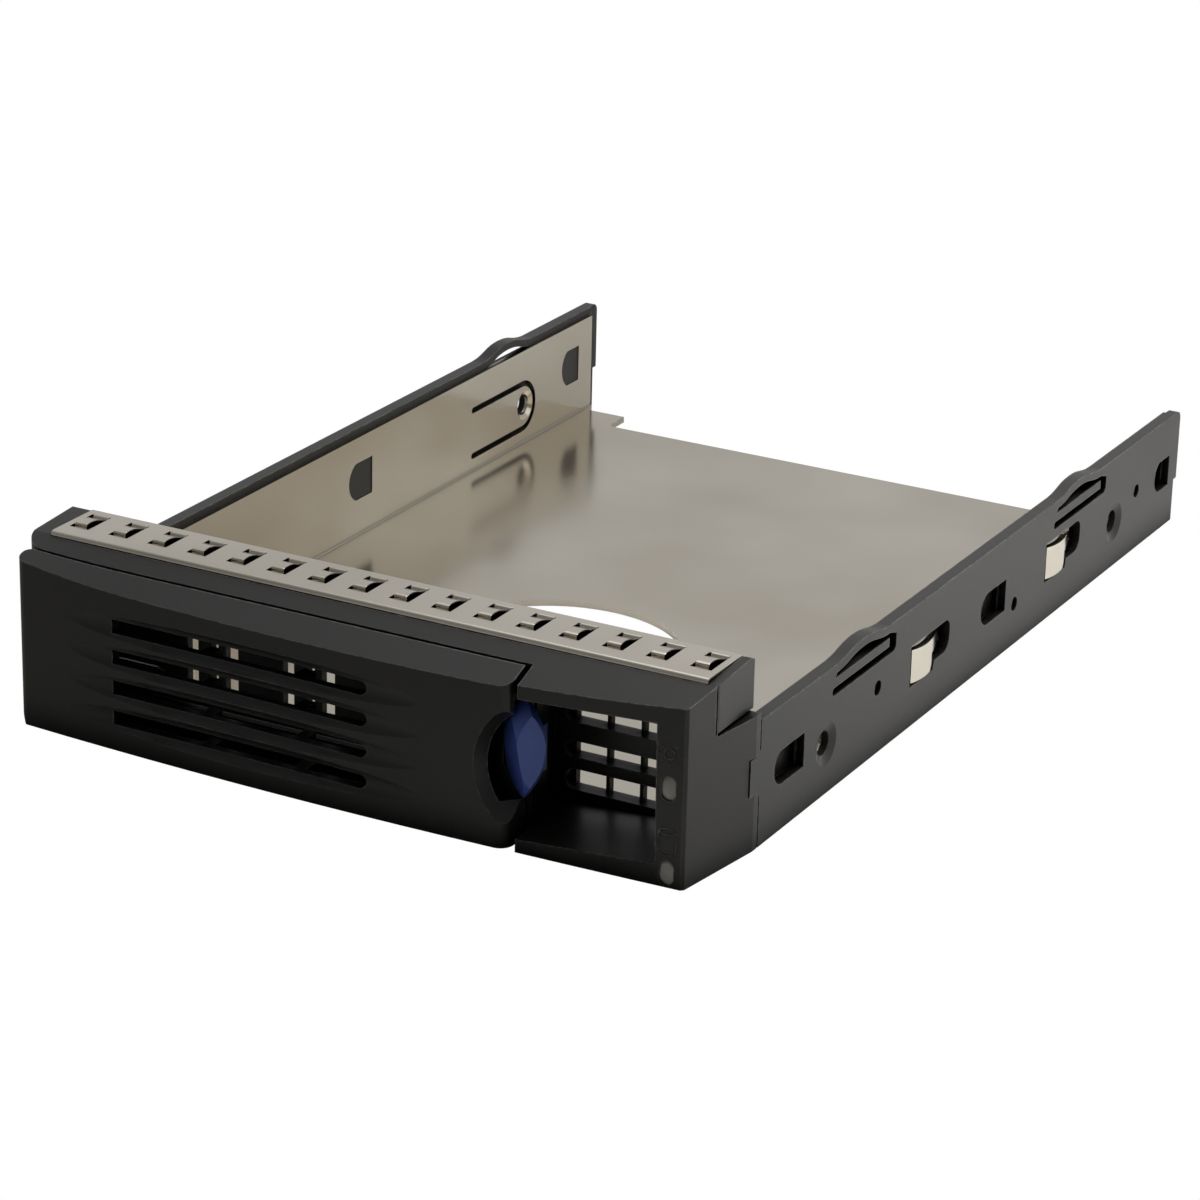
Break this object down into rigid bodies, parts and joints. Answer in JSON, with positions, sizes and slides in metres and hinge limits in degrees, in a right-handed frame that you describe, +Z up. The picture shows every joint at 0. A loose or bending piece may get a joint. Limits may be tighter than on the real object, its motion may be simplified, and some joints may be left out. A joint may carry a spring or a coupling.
{
  "type": "hot swap drive caddy",
  "caption": "Hot-swap drive caddy: steel tray between plastic rails, grille bezel with sprung contact strip, swing handle and sliding latch.",
  "frame": {"origin": "middle of the footprint, on the underside", "axes": "+X to the right across the front, +Y from the handle to the rear, +Z up"},
  "size_m": [0.1077, 0.1668, 0.0277],
  "materials": {
    "tray_steel": "satin",
    "strip_steel": "satin",
    "black_plastic": "fine grained matte",
    "blue_plastic": "matte",
    "lens_plastic": "milky translucent",
    "screw_steel": "zinc plated",
    "spring_steel": "bright drawn wire"
  },
  "bodies": {
    "frame": {"drive_tray": "tray_steel", "left_rail": "black_plastic", "right_rail": "black_plastic", "bezel": "black_plastic", "emi_spring_strip": "strip_steel", "handle_pin": "spring_steel", "bezel_screw_left": "screw_steel", "bezel_screw_right": "screw_steel", "upper_light_pipe": "lens_plastic", "lower_light_pipe": "lens_plastic"},
    "handle": {"handle": "black_plastic", "handle_spring": "spring_steel", "latch_retainer": "black_plastic", "retainer_screw_lower": "screw_steel", "retainer_screw_upper": "screw_steel", "latch_spring": "spring_steel"},
    "latch": {"release_latch": "blue_plastic"}
  },
  "joints": [
    {"name": "handle_swing", "type": "hinge", "parent": "frame", "child": "handle", "pos_m": [-0.0506, -0.07958, 0.012], "axis": [0, 0, -1], "range_deg": [0, 62]},
    {"name": "latch_press", "type": "slide", "parent": "handle", "child": "latch", "axis": [-1, 0, 0], "range_m": [0, 0.0025], "stiffness_N_per_m": 280, "deforming": ["latch_spring"]}
  ]
}
